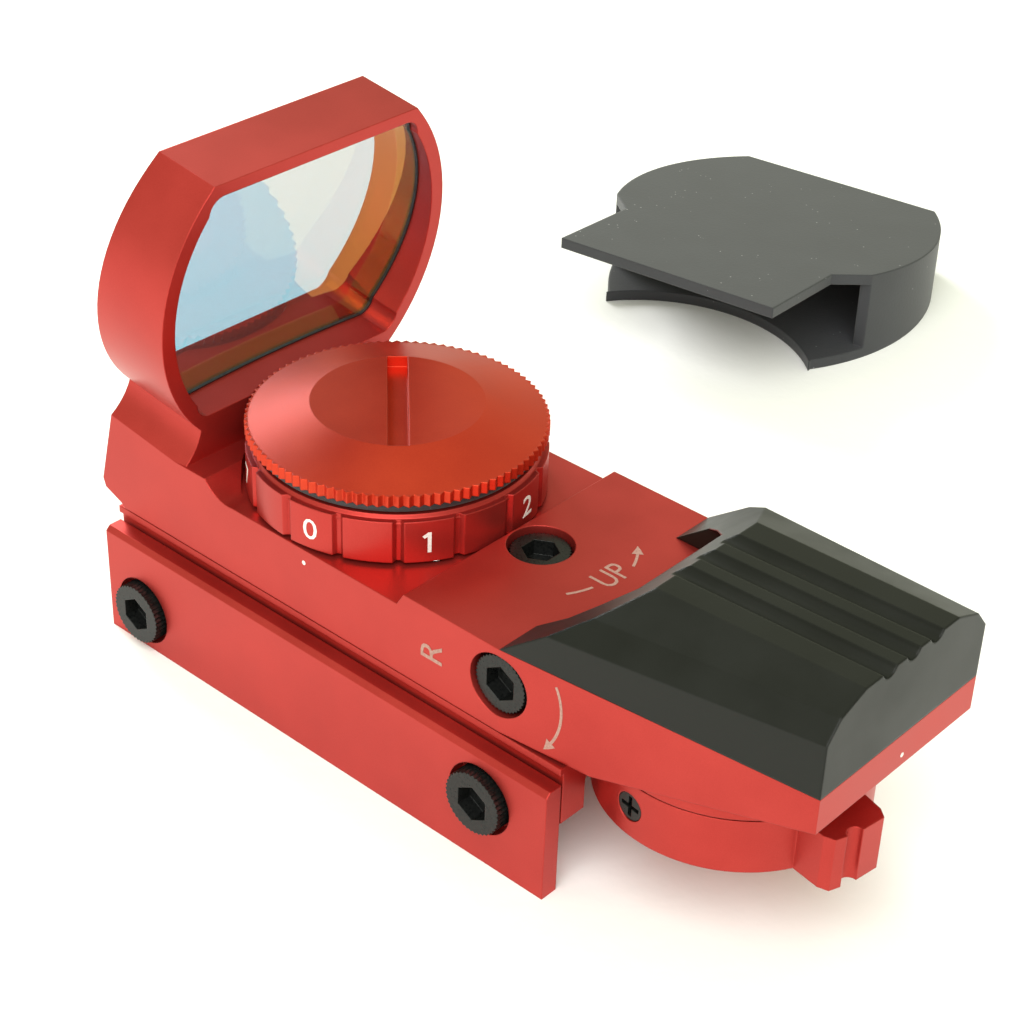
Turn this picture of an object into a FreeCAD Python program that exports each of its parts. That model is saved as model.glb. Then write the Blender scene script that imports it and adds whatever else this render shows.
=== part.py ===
import FreeCAD, Part
import math
import os
import re

# Open reflex red dot finder with a rail clamp, in millimetres.
# The origin is the centre of the rail seat. +Y points at the target, +X is the user's right, +Z is up.

SIZES = {
    # rail base: block, fixed jaw and the groove that takes a 21.2 mm wide rail
    "baseLength": 56.0, "baseHalf": 13.2, "baseTop": 8.6, "flangeThick": 0.7, "flangeHalf": 13.6,
    "railWidth": 21.2, "railGap": 0.25, "railHalf": "=railWidth / 2 + railGap", "flankDrop": 2.95,
    "seatHalf": "=railHalf - flankDrop", "railLand": 0.4, "jawBottom": 4.6, "jawOuter": "=baseHalf + 1.4",
    "reliefTop": 2.6, "reliefInner": "=seatHalf + 0.5", "boltRelief": 1.8,
    # moving clamp jaw and its two cross screws
    "plateThick": 1.8, "plateGap": 0.2, "plateOuter": "=baseHalf + plateGap + plateThick", "plateTop": 6.85,
    "plateLength": "=baseLength + 0.2", "plateBevel": 0.45, "noseLength": "=baseLength - 6", "noseGap": 0.2,
    "clampFrontY": 23.4, "clampFrontZ": -0.6, "clampRearY": -20.55, "clampRearZ": 2.06,
    "clampHeadRadius": 3.05, "clampHeadHeight": 2.5, "clampProud": 0.9,
    "clampRecessRadius": "=clampHeadRadius + 0.4", "clampHex": 3.1,
    "nutWidth": 5.5, "nutThick": 2.4, "nutGap": 0.1,
    # every M3 shank and the bores it runs or screws in
    "shankRadius": 1.5, "boreRadius": "=shankRadius + 0.06", "threadGap": 0.03,
    "tiltGap": 0.17, "yawGap": 0.08,
    "headRadius": "=shankRadius + 1.25", "headHeight": 3.0, "headHex": 3.0,
    "recessRadius": "=headRadius + 0.3", "hexDepth": 1.5, "knurlDepth": 0.16,
    # housing block
    "bodyHalf": 13.75, "bodyRear": -50.8, "taperStart": -21.2, "rearHalf": 10.8, "bodyBottom": 8.85,
    "slopeStart": -30.4, "rearBottom": 13.9, "upDeck": 17.25, "dialDeck": 15.95, "stepY": -10.1,
    "stepRun": 0.8, "shoulderTop": 17.5, "shoulderY": 15.0, "shoulderCurve": 3.6,
    "frontTopY": 20.75, "frontTopZ": 47.0, "frontLean": 14.3, "noseTip": 11.0, "chinY": 27.4,
    # hood: two arcs about a shared centre, a flat top, leaning back
    "hoodLean": 7.93, "hoodRootY": 17.69, "hoodRadius": 18.27, "hoodArcShift": 1.12,
    "hoodCentre": 16.1, "hoodTop": 28.8, "hoodWall": 1.45, "apertureTop": 27.6, "apertureBottom": 4.75,
    "apertureCorner": 1.6, "neckHalf": 12.5, "neckHeight": 3.4, "hoodReach": 13.0,
    # lens, set in from the front against a step in the aperture
    "lensThick": 3.0, "lensStep": 0.45, "lensGap": 0.06, "lensCurve": 160.0, "lensMidY": 18.75,
    "lensMidZ": 33.5, "sealWidth": 0.16, "sealThick": 0.3,
    # tilt and yaw of the housing on the base
    "pivotY": 22.5, "pivotZ": 12.0, "pivotRadius": 1.5, "pivotLeft": 9.8, "knuckleHalf": 4.0,
    "knuckleRadius": 2.3, "swivelY": 16.5, "swivelHalf": 6.5, "swivelRear": -17.0, "swivelFront": 25.0,
    "swivelBottom": 5.3, "swivelTop": 7.8, "yawRoom": 1.0, "pocketFloor": 5.2, "underHalf": 8.4,
    "underRear": -17.4, "underFront": 25.7, "underTop": 11.8,
    "elevationY": -13.3, "elevationSeat": 13.7, "windageY": -20.9, "windageZ": 13.5, "windageSeat": 10.4,
    "clipRadius": "=shankRadius + 1.1", "clipThick": 0.5, "nutHalf": "=shankRadius + 0.7", "pegRadius": 1.3,
    "pegBottom": 4.3, "windageRoom": 5.6, "springRadius": 3.3, "springWire": 0.3,
    # brightness dial
    "dialY": 4.2, "dialRadius": 13.75, "dialRoom": 0.45, "dialBottom": 16.3, "dialTop": 20.8,
    "padCount": 16, "padShare": 0.81, "padGroove": 0.45, "skirtRadius": 12.2, "batteryRadius": 10.0,
    "batteryThick": 3.2, "boardRadius": 11.6, "boardHole": 4.9, "boardBottom": 15.02, "boardThick": 0.7,
    "clickReach": 12.6, "clickAngle": 240.0, "clickFloor": 13.2, "ballRadius": 0.75, "ballGap": 0.05,
    "batteryBottom": 18.0, "dialFloor": 17.5, "stemRadius": 3.0, "capBottom": 21.95, "capRim": 23.05,
    "capTop": 24.6, "capFlat": 7.9, "capTeeth": 96, "toothDepth": 0.35, "slotWidth": 1.9,
    "slotLength": 15.7, "slotDepth": 1.1, "slotAngle": 45.0, "ringSection": 0.5,
    # rear cover
    "coverRidgeFront": 20.4, "coverRidgeRear": 22.4, "coverCrownFront": 24.5, "coverCrownRear": 25.35,
    "coverCrownHalf": 6.3, "coverShoulderHalf": 9.3, "coverShoulder": 24.2, "coverEdge": -31.5,
    "coverEdgeTop": 24.8, "coverWall": 1.6, "coverBrow": 37.0, "grooveRadius": 1.0, "groovePitch": 3.2,
    "coverScrewX": 7.6, "coverScrewY": -47.2, "coverScrewRadius": 1.0, "postRadius": 2.3,
    "coverRoof": 22.8, "screwHeadRadius": 1.9, "driverHalf": 1.1, "driverSlot": 0.22,
    # light source inside the cover
    "ledgeHalf": 8.6, "ledgeRear": -49.0, "ledgeFront": -25.0, "windowHalf": 7.8, "windowRear": -27.7,
    "windowThick": 0.8, "windowTop": 19.2, "standWidth": 7.0, "mirrorWidth": 6.0,
    "ledY": -41.3, "ledRadius": 1.2,
    # reticle selector under the rear of the housing
    "selectorY": -35.6, "selectorRadius": 12.0, "selectorTop": 9.75, "selectorBottom": 4.3,
    "selectorGap": 0.12, "tabAngle": 13.0, "tabWidth": 6.4, "tabRadius": 15.4, "cavityRadius": 8.9,
    "cavityFloor": 12.2, "ledgeFloor": 15.2, "stopReach": 10.3, "stopAngle": 60.0, "stopStep": 26.0,
    "setScrewRadius": 1.3, "setScrewLength": 7.6, "setScrewAngle": 172.0, "reticleRadius": 8.2,
    "reticleZ": 13.75, "reticleReach": 5.7,
    # rubber lens cover, lying open side towards the finder
    "rubberX": 75.0, "rubberY": 24.0, "rubberTurn": 7.5, "rubberWall": 1.3, "rubberDepth": 11.6,
    "rubberFall": 6.3, "rubberSpan": 31.4, "rubberRadius": 26.8, "rubberArcShift": 7.2, "rubberCentre": 14.5,
    "rubberTab": 13.0, "rubberTabHalf": 14.3, "rubberWallStart": 5.0, "rubberFloorStart": -2.0,
    "rubberReliefDepth": 6.6,
}

doc = FreeCAD.newDocument("RedDotFinder")
sheet = doc.addObject("Spreadsheet::Sheet", "Sizes")
nodes = []


class Values:
    """The sizes as plain numbers, for outlines drawn in code."""


D = Values()


def fill_sheet():
    for row, (alias, value) in enumerate(SIZES.items(), start=1):
        sheet.set(f"A{row}", alias)
        sheet.set(f"B{row}", str(value))
        sheet.setAlias(f"B{row}", alias)
    doc.recompute()
    for alias in SIZES:
        setattr(D, alias, sheet.get(alias))


def linked(text):
    """An expression in which each size's name points at its cell."""
    return re.sub(r"[A-Za-z]\w*", lambda m: "Sizes." + m[0] if m[0] in SIZES else m[0], str(text))


def bind(obj, **expressions):
    for prop, text in expressions.items():
        obj.setExpression(prop, linked(text))


def put(obj, at):
    for letter, text in zip("xyz", at):
        obj.setExpression("Placement.Base." + letter, linked(text))


TURNS = {
    "X": FreeCAD.Rotation(FreeCAD.Vector(0, 1, 0), 90),
    "Y": FreeCAD.Rotation(FreeCAD.Vector(1, 0, 0), -90),
    "Z": FreeCAD.Rotation(),
}


def new(kind, name, at, axis="Z", **expressions):
    """A Part primitive bound to the sheet, its own Z turned onto the given axis."""
    obj = doc.addObject(kind, name)
    obj.Placement = FreeCAD.Placement(FreeCAD.Vector(), TURNS[axis])
    bind(obj, **expressions)
    put(obj, at)
    return obj


def rod(name, radius, at, length, axis="Z"):
    return new("Part::Cylinder", name, at, axis, Radius=radius, Height=length)


def box(name, low, high):
    spans = [f"({b}) - ({a})" for a, b in zip(low, high)]
    return new("Part::Box", name, low, Length=spans[0], Width=spans[1], Height=spans[2])


def hexagon(name, flats, at, length, axis="Z"):
    prism = new("Part::Prism", name, at, axis, Circumradius=f"({flats}) / sqrt(3)", Height=length)
    prism.Polygon = 6
    return prism


def fuse(name, shapes):
    joined = doc.addObject("Part::MultiFuse", name)
    joined.Shapes = shapes
    return joined


def cut(name, base, tools):
    result = doc.addObject("Part::Cut", name)
    result.Base = base
    result.Tool = tools[0] if len(tools) == 1 else fuse(name + "Tools", tools)
    return result


def common(name, base, tool):
    result = doc.addObject("Part::Common", name)
    result.Base = base
    result.Tool = tool
    return result


def group(name, shapes):
    result = doc.addObject("Part::Compound", name)
    result.Links = shapes
    return result


def keep(obj, node):
    obj.Label = node
    nodes.append(obj)
    return obj


def new_body(name):
    return doc.addObject("PartDesign::Body", name)


def draw(body, name, plane, outline, offset=(0, 0, 0), lean=0.0):
    """A closed sketch. A four-number point ends an arc that passes through its last two numbers."""
    sketch = body.newObject("Sketcher::SketchObject", name)
    support = [f for f in body.Origin.OriginFeatures if f.Role == plane + "_Plane"][0]
    sketch.AttachmentSupport = [(support, "")]
    sketch.MapMode = "FlatFace"
    turn = FreeCAD.Rotation(FreeCAD.Vector(1, 0, 0), lean)
    sketch.AttachmentOffset = FreeCAD.Placement(FreeCAD.Vector(*offset), turn)
    last = FreeCAD.Vector(outline[-1][0], outline[-1][1], 0)
    for point in outline:
        end = FreeCAD.Vector(point[0], point[1], 0)
        if len(point) == 4:
            edge = Part.Arc(last, FreeCAD.Vector(point[2], point[3], 0), end)
        else:
            edge = Part.LineSegment(last, end)
        sketch.addGeometry(edge)
        last = end
    return sketch


def pad(body, sketch, length, side="One side", reverse=False):
    feature = body.newObject("PartDesign::Pad", sketch.Name + "Pad")
    feature.Profile = sketch
    feature.SideType = side
    feature.Reversed = reverse
    bind(feature, Length=length)
    doc.recompute()
    return feature


def pocket(body, sketch, length, side="One side", reverse=False):
    before = body.Shape.Volume
    feature = body.newObject("PartDesign::Pocket", sketch.Name + "Pocket")
    feature.Profile = sketch
    feature.SideType = side
    feature.Reversed = reverse
    bind(feature, Length=length)
    doc.recompute()
    if body.Shape.Volume > before - 0.01:
        raise RuntimeError(sketch.Name + " cuts nothing")
    return feature


def polar(radius, degrees):
    angle = math.radians(degrees)
    return (radius * math.cos(angle), radius * math.sin(angle))


def around(count, radius, turn=0.0):
    """Points evenly spaced on a circle, the first at the given number of degrees."""
    return [polar(radius, turn + 360 * k / count) for k in range(count)]


def teeth(count, radius, depth):
    """A saw-tooth ring outline: each tooth is one outer and one inner point."""
    outer = around(count, radius)
    inner = around(count, radius - depth, turn=180 / count)
    return [point for pair in zip(outer, inner) for point in pair]


def leaning(lean, y, z, at_z):
    """The y of a plane that leans back, at a height."""
    return y + (z - at_z) * math.tan(math.radians(lean))


# ---- rail clamp ----

def jaw_edge():
    """Half the width between the lower lips of the two jaws."""
    return D.railHalf - (D.jawBottom - D.flankDrop - D.railLand)


def rail_base():
    body = new_body("BaseBlock")
    drop = D.flankDrop
    section = [
        (-D.reliefInner, 0), (D.seatHalf, 0), (D.railHalf, -drop), (D.railHalf, -drop - D.railLand),
        (jaw_edge(), -D.jawBottom), (D.jawOuter, -D.jawBottom), (D.jawOuter, D.baseTop - D.flangeThick - 1.0),
        (D.flangeHalf, D.baseTop - D.flangeThick), (D.flangeHalf, D.baseTop),
        (-D.flangeHalf, D.baseTop), (-D.flangeHalf, D.baseTop - D.flangeThick),
        (-D.baseHalf, D.baseTop - D.flangeThick), (-D.baseHalf, D.reliefTop), (-D.reliefInner, D.reliefTop),
    ]
    pad(body, draw(body, "BaseSection", "XZ", section), "baseLength", "Symmetric")
    below = "0 - jawBottom - 1"
    swivel_side = "swivelHalf + yawRoom"
    tools = [
        box("SwivelPocket", (f"0 - ({swivel_side})", "swivelRear - 0.6", "pocketFloor"),
            (swivel_side, "swivelFront + 0.5", "baseTop + 1")),
        rod("SelectorNotch", "selectorRadius + 0.8", (0, "selectorY", below), "baseTop + 10"),
        rod("FrontBolt", "boreRadius", ("0 - baseHalf - 1", "clampFrontY", "clampFrontZ"), "40", "X"),
        rod("RearBolt", "boreRadius", ("0 - baseHalf - 1", "clampRearY", "clampRearZ"), "40", "X"),
        box("BoltRelief", ("0 - baseHalf", "clampFrontY - boltRelief", "clampFrontZ"),
            ("seatHalf", "clampFrontY + boltRelief", "clampFrontZ + boltRelief")),
        rod("SwivelBore", "boreRadius", (0, "swivelY", -1), "baseTop + 2"),
        rod("SwivelHeadRecess", "recessRadius", (0, "swivelY", -1), "3.4"),
        box("PegSlot", ("0 - pegRadius - 0.05", "windageY - pegRadius - 0.3", "pegBottom - 0.2"),
            ("pegRadius + 0.05", "windageY + pegRadius + 0.3", "baseTop + 1")),
    ]
    for place in ("Front", "Rear"):
        at = ("jawOuter - nutThick - nutGap", f"clamp{place}Y", f"clamp{place}Z")
        tools.append(hexagon(place + "NutPocket", "nutWidth + nutGap", at, "nutThick + 2", "X"))
    keep(cut("RailBase", body, tools), "rail_base")


def clamp_plate():
    body = new_body("PlateBlock")
    inner = D.plateOuter - D.plateThick
    drop = D.flankDrop
    middle = (0, 0, -(D.plateLength - D.baseLength) / 2)
    sheet_section = [
        (-D.plateOuter, -D.jawBottom), (-inner, -D.jawBottom), (-inner, D.plateTop),
        (-D.plateOuter + D.plateBevel, D.plateTop), (-D.plateOuter, D.plateTop - D.plateBevel),
    ]
    pad(body, draw(body, "PlateSection", "XZ", sheet_section, middle), "plateLength", "Symmetric")
    nose_side = D.reliefInner + D.noseGap
    nose_section = [
        (-inner, -D.jawBottom), (-jaw_edge(), -D.jawBottom), (-D.railHalf, -drop - D.railLand),
        (-D.railHalf, -drop), (-nose_side, D.seatHalf - nose_side), (-nose_side, D.reliefTop - D.noseGap),
        (-inner, D.reliefTop - D.noseGap),
    ]
    pad(body, draw(body, "NoseSection", "XZ", nose_section, middle), "noseLength", "Symmetric")
    tools = []
    for place in ("Front", "Rear"):
        at = ("0 - plateOuter - 1", f"clamp{place}Y", f"clamp{place}Z")
        tools.append(rod(place + "PlateBore", "boreRadius", at, "12", "X"))
        depth = "1 + clampHeadHeight - clampProud"
        tools.append(rod(place + "PlateRecess", "clampRecessRadius", at, depth, "X"))
    keep(cut("ClampPlate", body, tools), "clamp_plate")


def socket_screw(name, head_radius, head_height, hex_width, at, axis, shank, tooth_count=40):
    """A knurled socket screw whose head starts at the given point and whose shank runs along the axis."""
    body = new_body(name + "Head")
    outline = teeth(tooth_count, getattr(D, head_radius), D.knurlDepth)
    pad(body, draw(body, name + "Knurl", "XY", outline), head_height)
    stem = rod(name + "Stem", "shankRadius", (0, 0, head_height), shank)
    socket = hexagon(name + "Socket", hex_width, (0, 0, -1), "1 + hexDepth")
    screw = cut(name, fuse(name + "Blank", [body, stem]), [socket])
    screw.Placement = FreeCAD.Placement(FreeCAD.Vector(), TURNS[axis])
    put(screw, at)
    return screw


def clamp_screws():
    for place in ("Front", "Rear"):
        at = ("0 - plateOuter - clampProud", f"clamp{place}Y", f"clamp{place}Z")
        reach = "plateOuter + clampProud - clampHeadHeight + jawOuter - 0.4"
        screw = socket_screw("Clamp" + place, "clampHeadRadius", "clampHeadHeight", "clampHex",
                             at, "X", reach)
        keep(screw, "clamp_screw_" + place.lower())


def clamp_nuts():
    nuts = []
    for place in ("Front", "Rear"):
        at = ("jawOuter - nutThick - nutGap", f"clamp{place}Y", f"clamp{place}Z")
        blank = hexagon(place + "NutBlank", "nutWidth", at, "nutThick", "X")
        thread = rod(place + "NutThread", "shankRadius + threadGap", at, "nutThick", "X")
        nuts.append(cut(place + "Nut", blank, [thread]))
    keep(group("ClampNuts", nuts), "clamp_nuts")


# ---- swivel between base and housing ----

def swivel_plate():
    plate = box("SwivelSheet", ("0 - swivelHalf", "swivelRear", "swivelBottom"),
                ("swivelHalf", "swivelFront", "swivelTop"))
    knuckle = rod("Knuckle", "knuckleRadius", ("0 - knuckleHalf", "pivotY", "pivotZ"), "2 * knuckleHalf", "X")
    web = box("KnuckleWeb", ("0 - knuckleHalf", "pivotY - knuckleRadius", "swivelBottom"),
              ("knuckleHalf", "pivotY + knuckleRadius", "pivotZ"))
    tools = [
        rod("KnuckleBore", "pivotRadius + threadGap", ("0 - knuckleHalf - 1", "pivotY", "pivotZ"),
            "2 * knuckleHalf + 2", "X"),
        rod("SwivelThread", "shankRadius + threadGap", (0, "swivelY", "swivelBottom - 1"), "9"),
        rod("ElevationThread", "shankRadius + tiltGap", (0, "elevationY", "swivelBottom - 1"), "9"),
    ]
    keep(cut("SwivelPlate", fuse("SwivelBlank", [plate, knuckle, web]), tools), "swivel_plate")


def swivel_screw():
    head = rod("SwivelHead", "headRadius", (0, "swivelY", 0.3), "2.0")
    stem = rod("SwivelStem", "shankRadius", (0, "swivelY", 0.3), "swivelTop - 0.3")
    driver = hexagon("SwivelDriver", "2.0", (0, "swivelY", 0), "1.3")
    keep(cut("SwivelScrew", fuse("SwivelScrewBlank", [head, stem]), [driver]), "swivel_screw")


def pivot_pin():
    at = ("0 - pivotLeft", "pivotY", "pivotZ")
    pin = rod("PivotPin", "pivotRadius", at, "pivotLeft + bodyHalf - 0.4", "X")
    keep(pin, "pivot_pin")


def retaining_clip(name, node, at, axis):
    disc = rod(name + "Disc", "clipRadius", at, "clipThick", axis)
    hole = rod(name + "Hole", "shankRadius + threadGap", at, "clipThick", axis)
    keep(cut(name, disc, [hole]), node)


def adjusting_screws():
    top = "elevationSeat + headHeight"
    elevation = socket_screw("Elevation", "headRadius", "headHeight", "headHex", (0, "elevationY", top), "Z",
                             "elevationSeat - swivelBottom - 0.3")
    flip = FreeCAD.Rotation(FreeCAD.Vector(1, 0, 0), 180)
    elevation.Placement = FreeCAD.Placement(FreeCAD.Vector(), flip)
    put(elevation, (0, "elevationY", top))
    keep(elevation, "elevation_screw")
    retaining_clip("ElevationClip", "elevation_clip", (0, "elevationY", "underTop - 0.1 - clipThick"), "Z")

    at = ("0 - windageSeat - headHeight", "windageY", "windageZ")
    windage = socket_screw("Windage", "headRadius", "headHeight", "headHex", at, "X", "windageSeat + 9")
    keep(windage, "windage_screw")
    retaining_clip("WindageClip", "windage_clip", ("0.1 - windageRoom", "windageY", "windageZ"), "X")


def windage_nut():
    block = box("WindageBlock", ("0 - nutHalf", "windageY - nutHalf", "windageZ - nutHalf"),
                ("nutHalf", "windageY + nutHalf", "windageZ + nutHalf"))
    peg = rod("WindagePeg", "pegRadius", (0, "windageY", "pegBottom"), "windageZ - pegBottom")
    thread = rod("WindageThread", "shankRadius + yawGap", (-9, "windageY", "windageZ"), "18", "X")
    keep(cut("WindageNut", fuse("WindageNutBlank", [block, peg]), [thread]), "windage_nut")


def cross_driver(name, half, slot, at, height):
    """Two crossed slots, for cutting a cross recess into a screw."""
    x, y, z = at
    slots = []
    for wide, high in ((half, slot), (slot, half)):
        low = (f"{x} - {wide}", f"{y} - {high}", z)
        slots.append(box(f"{name}{len(slots)}", low, (f"{x} + {wide}", f"{y} + {high}", z + height)))
    return fuse(name, slots)


def coil(name, node, radius, wire, at, height, turns):
    """A compression spring: a wire swept along a helix."""
    helix = doc.addObject("Part::Helix", name + "Helix")
    bind(helix, Radius=radius, Height=height, Pitch=f"({height}) / ({turns})")
    section = doc.addObject("Part::Circle", name + "Section")
    bind(section, Radius=wire)
    section.Placement = FreeCAD.Placement(FreeCAD.Vector(), FreeCAD.Rotation(FreeCAD.Vector(1, 0, 0), 90))
    bind(section, **{"Placement.Base.x": radius})
    sweep = doc.addObject("Part::Sweep", name)
    sweep.Sections = [section]
    sweep.Spine = (helix, [])
    sweep.Solid = True
    sweep.Frenet = True
    put(sweep, at)
    keep(sweep, node)


# ---- housing ----

def hood_outline(shrink, top, bottom, corner):
    """Two equal arcs with flat ends, in the plane of the hood's rear face."""
    radius = D.hoodRadius - shrink

    def half(height):
        return math.sqrt(radius ** 2 - (height - D.hoodCentre) ** 2) - D.hoodArcShift

    widest = radius - D.hoodArcShift
    inset = corner * 0.3
    high, low = top - corner, bottom + corner
    wide, narrow = half(high), half(low)
    foot = wide - corner * 0.75
    return [
        (foot, bottom),
        (narrow, low, narrow - inset, bottom + inset),
        (wide, high, widest, D.hoodCentre),
        (wide - corner, top, wide - inset, top - inset),
        (corner - wide, top),
        (-wide, high, inset - wide, top - inset),
        (-narrow, low, -widest, D.hoodCentre),
        (-foot, bottom, inset - narrow, bottom + inset),
    ]


def hood_plane():
    return (0, D.shoulderTop, -D.hoodRootY)


def hood_prism(name, shrink, top, bottom, corner):
    body = new_body(name)
    outline = hood_outline(shrink, top, bottom, corner)
    sketch = draw(body, name + "Outline", "XZ", outline, hood_plane(), D.hoodLean)
    pad(body, sketch, "2 * (hoodReach + 4)", "Symmetric")
    return body


def front_y(z):
    return leaning(D.frontLean, D.frontTopY, D.frontTopZ, z)


def housing_block():
    body = new_body("HousingBlock")
    side = [
        (D.bodyRear, D.rearBottom), (D.bodyRear, D.upDeck), (D.stepY, D.upDeck),
        (D.stepY + D.stepRun, D.dialDeck), (D.shoulderY - D.shoulderCurve, D.dialDeck),
        (D.shoulderY, D.shoulderTop, D.shoulderY - 0.35 * D.shoulderCurve, D.dialDeck + 0.42),
        (front_y(D.shoulderTop), D.shoulderTop), (front_y(D.noseTip), D.noseTip),
        (front_y(D.noseTip) - 0.3, D.noseTip - 0.9), (D.chinY, D.bodyBottom + 0.4),
        (D.chinY - 0.4, D.bodyBottom), (D.slopeStart, D.bodyBottom),
    ]
    pad(body, draw(body, "SideProfile", "YZ", side), "2 * bodyHalf", "Symmetric")
    for hand in (-1, 1):
        wedge = [
            (hand * D.bodyHalf, D.taperStart), (hand * D.rearHalf, D.bodyRear),
            (hand * D.rearHalf, D.bodyRear - 1), (hand * (D.bodyHalf + 1), D.bodyRear - 1),
            (hand * (D.bodyHalf + 1), D.taperStart),
        ]
        sketch = draw(body, f"Taper{hand + 1}", "XY", wedge)
        pocket(body, sketch, "30", reverse=True)

    arc_top = D.hoodTop - 1.2
    radius = D.hoodRadius

    def half(height):
        return math.sqrt(radius ** 2 - (height - D.hoodCentre) ** 2) - D.hoodArcShift

    widest = radius - D.hoodArcShift
    hood = [
        (D.bodyHalf, -3.5), (D.bodyHalf, -0.2), (half(D.neckHeight), D.neckHeight, D.neckHalf, 1.6),
        (half(arc_top), arc_top, widest, D.hoodCentre), (half(arc_top) - 1.0, D.hoodTop),
        (1.0 - half(arc_top), D.hoodTop), (-half(arc_top), arc_top),
        (-half(D.neckHeight), D.neckHeight, -widest, D.hoodCentre), (-D.bodyHalf, -0.2, -D.neckHalf, 1.6),
        (-D.bodyHalf, -3.5),
    ]
    sketch = draw(body, "HoodOutline", "XZ", hood, hood_plane(), D.hoodLean)
    pad(body, sketch, "hoodReach", reverse=True)
    above = D.frontTopZ + 6
    ahead = [
        (front_y(above), above), (front_y(D.noseTip), D.noseTip),
        (D.chinY + 16, D.noseTip), (D.chinY + 16, above),
    ]
    pocket(body, draw(body, "FrontPlane", "YZ", ahead), "60", "Symmetric")
    return body


def lens_vertex(shift):
    """A point on the lens axis, counted forward from the middle of its rear face."""
    lean = math.radians(D.frontLean)
    return (D.lensMidY + shift * math.cos(lean), D.lensMidZ + shift * math.sin(lean))


def lens_ball(name, shift):
    """The sphere whose front passes through the lens axis at a point."""
    y, z = lens_vertex(shift - D.lensCurve)
    ball = doc.addObject("Part::Sphere", name)
    bind(ball, Radius="lensCurve")
    ball.Placement = FreeCAD.Placement(FreeCAD.Vector(0, y, z), FreeCAD.Rotation())
    return ball


def housing():
    block = housing_block()
    boss = rod("SelectorBoss", "selectorRadius", (0, "selectorY", "selectorTop"), "upDeck - selectorTop - 1")
    blank = fuse("HousingBlank", [block, boss])

    aperture = hood_prism("Aperture", D.hoodWall, D.apertureTop, D.apertureBottom, D.apertureCorner)
    recess_prism = hood_prism("RecessPrism", D.hoodWall - D.lensStep, D.apertureTop + D.lensStep,
                              D.apertureBottom - D.lensStep, D.apertureCorner)
    lens_recess = cut("LensRecess", recess_prism, [lens_ball("RecessBall", 0.0)])

    low = "bodyBottom - 3"
    board_ring = cut("BoardRecess", rod("BoardRecessOuter", "boardRadius + 0.1", (0, "dialY", 15.0), "5"),
                     [rod("BoardRecessInner", "boardHole - 0.1", (0, "dialY", 14.0), "7")])
    bosses = []
    for hand in (-1, 1):
        at = (f"{hand} * coverScrewX", "coverScrewY", 14)
        bosses.append(rod(f"CoverBoss{hand + 1}", "postRadius", at, "8"))
    click_x, click_y = polar(D.clickReach, D.clickAngle)
    stop_x, stop_y = polar(D.stopReach, D.stopAngle)
    tools = [
        aperture, lens_recess, board_ring,
        box("UnderPocket", ("0 - underHalf", "underRear", low), ("underHalf", "underFront", "underTop")),
        box("KnucklePocket", ("0 - knuckleHalf - 0.4", "pivotY - knuckleRadius - 1.2", low),
            ("knuckleHalf + 0.4", "underFront", "pivotZ + knuckleRadius + 0.4")),
        box("WindagePocket", ("0 - windageRoom", "windageY - nutHalf - 1.1", low),
            ("windageRoom", "windageY + nutHalf + 1.1", "windageZ + clipRadius + 0.1")),
        rod("SelectorRecess", "selectorRadius + 0.15", (0, "selectorY", low), "selectorTop - bodyBottom + 3"),
        rod("DialWell", "dialRadius + dialRoom", (0, "dialY", "dialDeck"), "capTop - dialDeck + 3"),
        rod("StemBore", "stemRadius + 0.05", (0, "dialY", 10), "10"),
        rod("DetentHole", "ballRadius + ballGap", (click_x, f"dialY + ({click_y})", "clickFloor"), "5"),
        rod("ElevationRecess", "recessRadius", (0, "elevationY", "elevationSeat"), "10"),
        rod("ElevationBore", "boreRadius", (0, "elevationY", 10), "10"),
        rod("WindageRecess", "recessRadius", ("0 - bodyHalf - 1", "windageY", "windageZ"),
            "bodyHalf + 1 - windageSeat", "X"),
        rod("WindageBore", "boreRadius", ("0 - bodyHalf", "windageY", "windageZ"), "bodyHalf + 10.5", "X"),
        rod("PivotBore", "pivotRadius", ("0 - pivotLeft", "pivotY", "pivotZ"),
            "pivotLeft + bodyHalf + 2", "X"),
        cut("RearLedge", box("RearLedgeRoom", ("0 - ledgeHalf", "ledgeRear", "ledgeFloor"),
                             ("ledgeHalf", "ledgeFront", 20)), bosses),
        rod("RearCavity", "cavityRadius", (0, "selectorY", "cavityFloor"), "10"),
        rod("SpindleBore", "boreRadius", (0, "selectorY", 5), "10"),
        rod("SelectorDetentHole", "ballRadius + ballGap", (stop_x, f"selectorY + ({stop_y})", 5), "7.6"),
    ]
    for hand in (-1, 1):
        x = f"{hand} * coverScrewX"
        at = (x, "coverScrewY", 9)
        tools.append(rod(f"CoverScrewBore{hand + 1}", "coverScrewRadius + 0.05", at, "12"))
        tools.append(rod(f"CoverScrewRecess{hand + 1}", "screwHeadRadius + 0.2", at, "5.2"))
    keep(cut("Housing", blank, tools), "housing")


def lens():
    step = D.lensStep - D.lensGap
    prism = hood_prism("LensPrism", D.hoodWall - step, D.apertureTop + step, D.apertureBottom - step,
                       D.apertureCorner)
    front = common("LensFront", prism, lens_ball("LensFrontBall", D.lensThick))
    keep(cut("Lens", front, [lens_ball("LensRearBall", 0.0)]), "lens")


def lens_seal():
    prisms = []
    for name, edge in (("SealOuter", 0.01), ("SealInner", D.sealWidth)):
        prisms.append(hood_prism(name, D.hoodWall + edge, D.apertureTop - edge, D.apertureBottom + edge,
                                 D.apertureCorner))
    ring = cut("SealRing", prisms[0], [prisms[1]])
    slab = common("SealSlab", ring, lens_ball("SealFrontBall", 0.0))
    keep(cut("LensSeal", slab, [lens_ball("SealRearBall", -D.sealThick)]), "lens_seal")


# ---- brightness dial ----

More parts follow.
